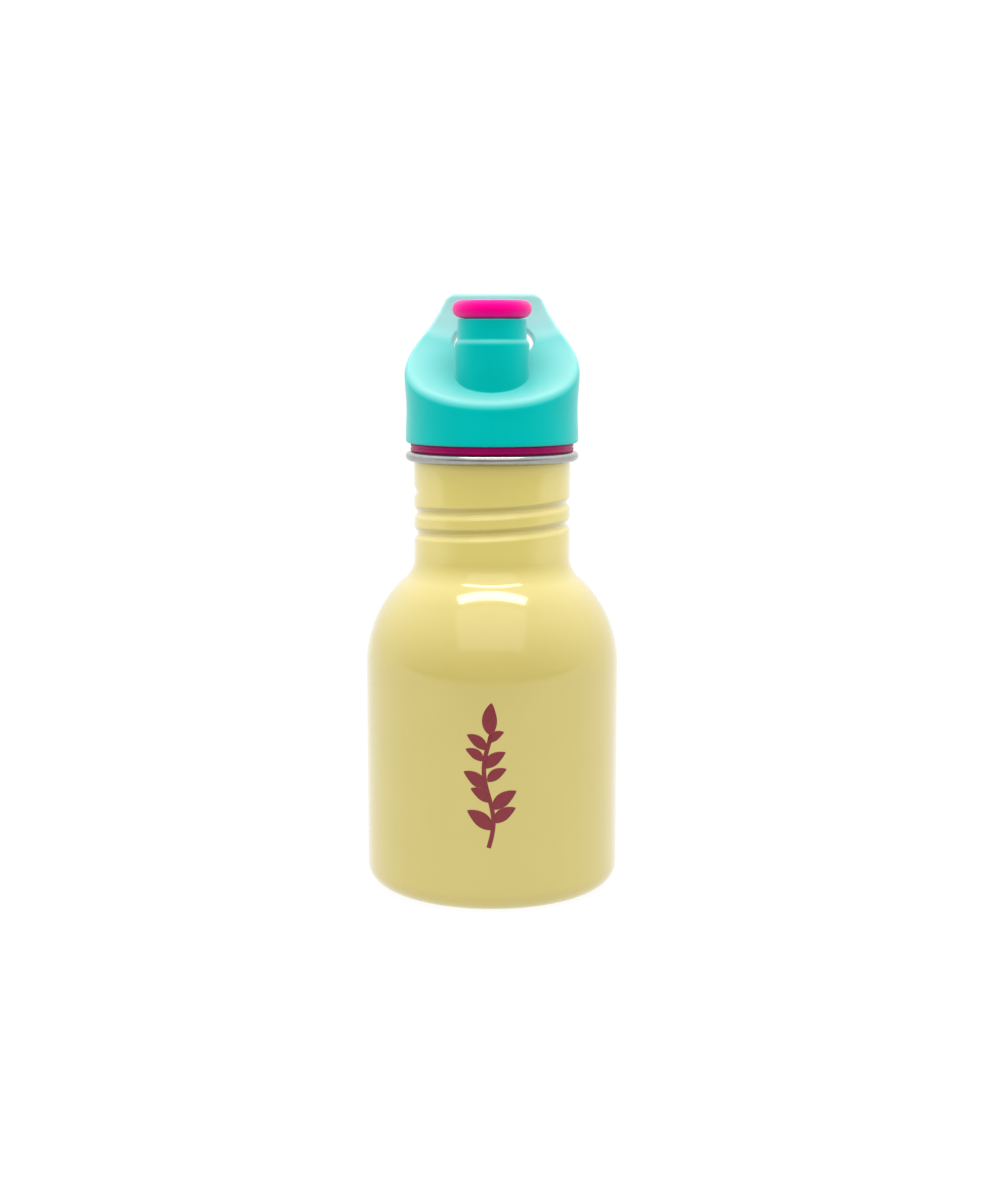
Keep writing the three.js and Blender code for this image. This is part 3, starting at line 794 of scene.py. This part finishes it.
class Look:
    """A node material being built: one Principled shader and helpers that add nodes to it."""

    def __init__(self, name, color, roughness, metallic=0.0):
        self.material = bpy.data.materials.new(name)
        self.material.use_nodes = True
        self.tree = self.material.node_tree
        self.shader = self.tree.nodes["Principled BSDF"]
        self.set("Base Color", color)
        self.set("Roughness", roughness)
        self.set("Metallic", metallic)
        self.color, self.roughness = color, roughness

    def set(self, socket, value):
        self.shader.inputs[socket].default_value = value

    def node(self, kind, **values):
        made = self.tree.nodes.new(kind)
        for key, value in values.items():
            if hasattr(made, key):
                setattr(made, key, value)
            else:
                made.inputs[key.replace("_", " ")].default_value = value
        return made

    def link(self, output, target):
        self.tree.links.new(output, target)

    def place(self, scale=(1, 1, 1)):
        """Object coordinates in millimetres, stretched."""
        coordinate = self.node("ShaderNodeTexCoord")
        mapping = self.node("ShaderNodeMapping")
        mapping.inputs["Scale"].default_value = tuple(1000 * s for s in scale)
        self.link(coordinate.outputs["Object"], mapping.inputs["Vector"])
        return mapping.outputs["Vector"]

    def noise(self, scale, detail=2.0, stretch=(1, 1, 1), roughness=0.5):
        """Noise whose features are about 1/scale millimetres."""
        made = self.node("ShaderNodeTexNoise", Scale=scale, Detail=detail, Roughness=roughness)
        self.link(self.place(stretch), made.inputs["Vector"])
        return made.outputs["Fac"]

    def ranged(self, source, low, high, from_low=0.3, from_high=0.7):
        made = self.node("ShaderNodeMapRange")
        made.inputs["From Min"].default_value = from_low
        made.inputs["From Max"].default_value = from_high
        made.inputs["To Min"].default_value = low
        made.inputs["To Max"].default_value = high
        self.link(source, made.inputs["Value"])
        return made.outputs["Result"]

    def mix_color(self, share, first, second):
        """Blend of two colours, each a plain colour or a socket."""
        mix = self.node("ShaderNodeMix", data_type="RGBA")
        self.link(share, mix.inputs[0])
        for slot, color in ((6, first), (7, second)):
            if isinstance(color, bpy.types.NodeSocket):
                self.link(color, mix.inputs[slot])
            else:
                mix.inputs[slot].default_value = color
        return mix.outputs[2]

    def vary_color(self, source, other):
        """Base colour drifts towards other as source goes up."""
        drift = self.mix_color(self.ranged(source, 0, 1), self.color, other)
        self.link(drift, self.shader.inputs["Base Color"])
        return drift

    def join(self, operation, first, second):
        made = self.node("ShaderNodeMath", operation=operation)
        for slot, value in enumerate((first, second)):
            self.link(value, made.inputs[slot])
        return made.outputs[0]

    def facing_and_spot(self):
        """The object's own normal and position, each split into X, Y and Z."""
        place = self.node("ShaderNodeTexCoord")
        split = []
        for output in ("Normal", "Object"):
            made = self.node("ShaderNodeSeparateXYZ")
            self.link(place.outputs[output], made.inputs[0])
            split.append(made)
        return split

    def painted_plastic_light(self, color, lit_color):
        """Painted top light where the plastic faces up, painted shade round the spout's foot, painted
        light through the handle.
        """
        facing, spot = self.facing_and_spot()
        squares = [self.join("MULTIPLY", spot.outputs[axis], spot.outputs[axis]) for axis in "XY"]
        across = self.join("ADD", *squares)
        # painted shade: less of the paleness round the foot of the spout, none taken off its step
        clear = self.join(
            "MAXIMUM", self.ranged(across, 0.4, 1, (11 * MM) ** 2, (22 * MM) ** 2),
            self.ranged(across, 1, 0, (10.45 * MM) ** 2, (10.7 * MM) ** 2))
        # painted top light on faces turned up
        top_light = self.join("MULTIPLY", self.ranged(facing.outputs["Z"], 0, TOP_LIGHT_SHARE, *TOP_LIGHT_FACING), clear)
        # painted light shining through the handle, more towards its back and top
        backlight = self.join(
            "MULTIPLY", self.ranged(spot.outputs["Y"], 0, 1, 10 * MM, 15 * MM),
            self.ranged(spot.outputs["Z"], 0, HANDLE_BACKLIGHT_SHARE, 136 * MM, 166 * MM))
        share = self.join("MAXIMUM", top_light, backlight)
        self.link(self.mix_color(share, color, lit_color), self.shader.inputs["Base Color"])

    def pool(self, color, light, shade_color):
        """Painted light making the paint lighter up at the neck, and painted shade darker under the
        thread's overhang.
        """
        facing, spot = self.facing_and_spot()
        # painted light: lighter from 84 to 98 mm up
        height = self.ranged(spot.outputs["Z"], 0, 1, 84 * MM, 98 * MM)
        # painted shade on faces turned down at that height
        under = self.join("MULTIPLY", self.ranged(facing.outputs["Z"], 1, 0, -0.5, -0.08), height)
        upper = self.mix_color(height, color, light)
        self.link(self.mix_color(under, upper, shade_color), self.shader.inputs["Base Color"])

    def vary_roughness(self, source, low, high):
        self.link(self.ranged(source, low, high), self.shader.inputs["Roughness"])

    def bump(self, source, depth_mm, strength=1.0, previous=None):
        made = self.node("ShaderNodeBump")
        made.inputs["Strength"].default_value = strength
        made.inputs["Distance"].default_value = depth_mm * MM
        self.link(source, made.inputs["Height"])
        if previous is not None:
            self.link(previous, made.inputs["Normal"])
        self.link(made.outputs["Normal"], self.shader.inputs["Normal"])
        return made.outputs["Normal"]


def gloss_paint():
    look = Look("gloss_paint", PAINT_COLORS[0], 0.14)
    drift = look.vary_color(look.noise(0.08, 3), PAINT_COLORS[1])
    # painted light at the neck, painted shade under the thread
    look.pool(drift, PAINT_NECK_LIT, PAINT_THREAD_SHADE)
    look.vary_roughness(look.noise(0.35, 4), 0.11, 0.17)
    peel = look.bump(look.noise(0.7, 2), 0.004)
    look.bump(look.noise(6.0, 2), 0.0006, previous=peel)
    look.set("IOR", 1.5)
    look.set("Coat Weight", 0.85)
    look.set("Coat Roughness", 0.04)
    look.set("Coat IOR", 1.55)
    return look.material


def bare_steel(name="bare_steel"):
    look = Look(name, linear(168, 168, 164), 0.2, 1.0)
    look.vary_color(look.noise(0.4, 4), linear(158, 158, 154))
    look.vary_roughness(look.noise(0.5, 3, (1, 1, 4)), 0.16, 0.26)
    look.bump(look.noise(0.8, 3, (0.3, 0.3, 6)), 0.0015)
    return look.material


def moulded_plastic(name, color, other, lit_color):
    look = Look(name, color, 0.38)
    # painted light and shade mixed into the base colour
    look.painted_plastic_light(look.vary_color(look.noise(0.07, 3), other), lit_color)
    look.vary_roughness(look.noise(0.6, 4), 0.34, 0.44)
    grain = look.bump(look.noise(5.0, 3), 0.004)
    look.bump(look.noise(0.35, 2), 0.01, previous=grain)
    look.set("IOR", 1.42)
    look.set("Subsurface Weight", 0.3)
    look.set("Subsurface Radius", (0.3, 1.0, 1.0))
    look.set("Subsurface Scale", 0.002)
    look.set("Specular Tint", (0.0, 1.0, 1.0, 1.0))
    look.set("Sheen Weight", 0.3)
    look.set("Sheen Roughness", 0.35)
    look.set("Sheen Tint", (0.85, 1.0, 1.0, 1.0))
    return look.material


def silicone(name, color, other, roughness, sheen):
    look = Look(name, color, roughness)
    look.vary_color(look.noise(0.25, 3), other)
    look.vary_roughness(look.noise(0.9, 3), roughness - 0.05, roughness + 0.07)
    look.bump(look.noise(4.0, 3), 0.005)
    look.set("IOR", 1.42)
    look.set("Subsurface Weight", 0.15)
    look.set("Subsurface Radius", (1.0, 0.2, 0.4))
    look.set("Subsurface Scale", 0.0015)
    look.set("Specular Tint", tuple(min(1, 3 * c) for c in color[:3]) + (1,))
    look.set("Sheen Weight", sheen)
    look.set("Sheen Roughness", 0.4)
    look.set("Sheen Tint", (1.0, 0.8, 0.95, 1.0))
    return look.material


def print_ink():
    look = Look("print_ink", linear(132, 30, 44), 0.32)
    look.vary_color(look.noise(1.2, 3), linear(124, 27, 40))
    look.bump(look.noise(3.0, 3), 0.004)
    return look.material


# ---------------------------------------------------------------- assembly
def finish_piece(obj, look, body, slot, *nodes):
    """Paints a piece, ties it to its body and lets it stand for its CAD nodes."""
    obj.data.materials.append(look)
    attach(obj, body)
    if nodes:
        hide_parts(*nodes)
    return obj


steel = bare_steel()
plastic = moulded_plastic("cap_plastic", PLASTIC, PLASTIC_DEEP, PLASTIC_LIT)
plug_plastic = moulded_plastic("plug_plastic", *PLUG_COLORS)
ring_silicone = silicone("ring_silicone", linear(172, 20, 98), linear(160, 16, 90), 0.42, 0.12)
tip_silicone = silicone("tip_silicone", *TIP_COLORS, 0.42, 0.15)
clear_silicone = silicone("clear_silicone", linear(222, 228, 228), linear(214, 222, 222), 0.45, 0.1)

finish_piece(bottle_steel(), steel, "bottle", "bare_steel", "bottle_shell")
finish_piece(bottle_paint(), gloss_paint(), "bottle", "gloss_paint")
finish_piece(base_disc(), steel, "bottle", "bare_steel", "base_disc")
finish_piece(front_print(), print_ink(), "bottle", "gloss_paint")
finish_piece(seal_ring(), ring_silicone, "seal", "ring_silicone", "seal_ring")
finish_piece(cap_shell(), plastic, "cap", "cap_plastic", "cap_shell")
finish_piece(thread_plug(), plug_plastic, "cap", "plug_plastic", "thread_plug")
finish_piece(vent_valve(), clear_silicone, "cap", "clear_silicone", "vent_valve")
finish_piece(nozzle(), plastic, "nozzle", "cap_plastic", "nozzle_slider")
finish_piece(o_ring(), ring_silicone, "nozzle", "ring_silicone", "nozzle_o_ring")
finish_piece(mouthpiece(), tip_silicone, "nozzle", "tip_silicone", "mouthpiece")


# ---------------------------------------------------------------- stage
ROOM = (-1.0, 0.3, 0.36, 1.0)  # along Y: two places, then the strength at each
CEILING = (0.0, 0.75, 0.0, 0.6)  # added overhead
FLOOR_GLOW = (-0.6, -0.22, 0.2, 0.93)  # along Y, in metres: two places, then the glow at each
FLOOR_RADIUS = 4.0
FLOOR_GREY = 0.08
WINDOW_GLOW = 7.5
PANEL_GLOW = 0.6
CAMERA_LENS = 52.31  # millimetres, on a 36 mm sensor
CAMERA_DISTANCE = 0.5
CAMERA_HEIGHT = 0.15482
CAMERA_TILT = 0.14379  # down, in radians
CAMERA_AROUND = math.radians(1.45)
CAMERA_TURN = 0.0006  # more than facing the axis needs


def floor():
    """Round floor: it glows white round the bottle and behind it, and is dim far out in front."""
    bpy.ops.mesh.primitive_circle_add(vertices=96, radius=FLOOR_RADIUS, fill_type="NGON")
    made = bpy.context.object
    made.name = "floor"
    look = bpy.data.materials.new("floor")
    look.use_nodes = True
    nodes, links = look.node_tree.nodes, look.node_tree.links
    shader = nodes["Principled BSDF"]
    shader.inputs["Base Color"].default_value = (FLOOR_GREY, FLOOR_GREY, FLOOR_GREY, 1)
    shader.inputs["Roughness"].default_value = 0.9
    shader.inputs["Specular IOR Level"].default_value = 0.0
    place = nodes.new("ShaderNodeTexCoord")
    split = nodes.new("ShaderNodeSeparateXYZ")
    fade = nodes.new("ShaderNodeMapRange")
    fade.interpolation_type = "SMOOTHSTEP"
    for socket, value in zip(("From Min", "From Max", "To Min", "To Max"), FLOOR_GLOW):
        fade.inputs[socket].default_value = value
    links.new(place.outputs["Object"], split.inputs[0])
    links.new(split.outputs["Y"], fade.inputs["Value"])
    shader.inputs["Emission Color"].default_value = (1, 1, 1, 1)
    links.new(fade.outputs["Result"], shader.inputs["Emission Strength"])
    made.data.materials.append(look)


def soft_box(name, place, target, width, height, glow):
    """Rectangular light with an even brightness, facing a point."""
    light = bpy.data.lights.new(name, "AREA")
    light.shape = "RECTANGLE"
    light.size, light.size_y = width, height
    light.energy = glow * math.pi * width * height
    made = bpy.data.objects.new(name, light)
    made.location = place
    made.rotation_euler = (Vector(target) - Vector(place)).to_track_quat("-Z", "Y").to_euler()
    bpy.context.scene.collection.objects.link(made)


def studio_world():
    """A white room: brightest behind and at the sides, dim where the camera stands."""
    world = bpy.data.worlds.new("studio")
    world.use_nodes = True
    nodes, links = world.node_tree.nodes, world.node_tree.links
    background = nodes["Background"]
    place = nodes.new("ShaderNodeTexCoord")
    split = nodes.new("ShaderNodeSeparateXYZ")
    links.new(place.outputs["Generated"], split.inputs[0])

    def ramp(axis, start, end, low, high):
        made = nodes.new("ShaderNodeMapRange")
        made.interpolation_type = "SMOOTHSTEP"
        for socket, value in zip(("From Min", "From Max", "To Min", "To Max"), (start, end, low, high)):
            made.inputs[socket].default_value = value
        links.new(split.outputs[axis], made.inputs["Value"])
        return made.outputs["Result"]

    total = nodes.new("ShaderNodeMath")
    total.operation = "ADD"
    links.new(ramp("Y", *ROOM), total.inputs[0])
    links.new(ramp("Z", *CEILING), total.inputs[1])
    links.new(total.outputs[0], background.inputs["Strength"])
    background.inputs["Color"].default_value = (1, 1, 1, 1)
    bpy.context.scene.world = world


def camera():
    data = bpy.data.cameras.new("camera")
    data.sensor_width = 36
    data.lens = CAMERA_LENS
    data.clip_start = 0.01
    made = bpy.data.objects.new("camera", data)
    side = CAMERA_DISTANCE * math.sin(CAMERA_AROUND)
    front = -CAMERA_DISTANCE * math.cos(CAMERA_AROUND)
    made.location = (side, front, CAMERA_HEIGHT)
    made.rotation_euler = (math.pi / 2 - CAMERA_TILT, 0, CAMERA_AROUND + CAMERA_TURN)
    bpy.context.scene.collection.objects.link(made)
    bpy.context.scene.camera = made


floor()
studio_world()
soft_box("window", (0.01, -0.19, 1.09), (0.01, -0.19, 0), 0.94, 0.19, WINDOW_GLOW)
soft_box("front_panel", (0.01, -1.0, 1.1), (0.01, 0, 0.09), 1.6, 1.2, PANEL_GLOW)
camera()
bpy.context.scene.view_settings.view_transform = "Standard"
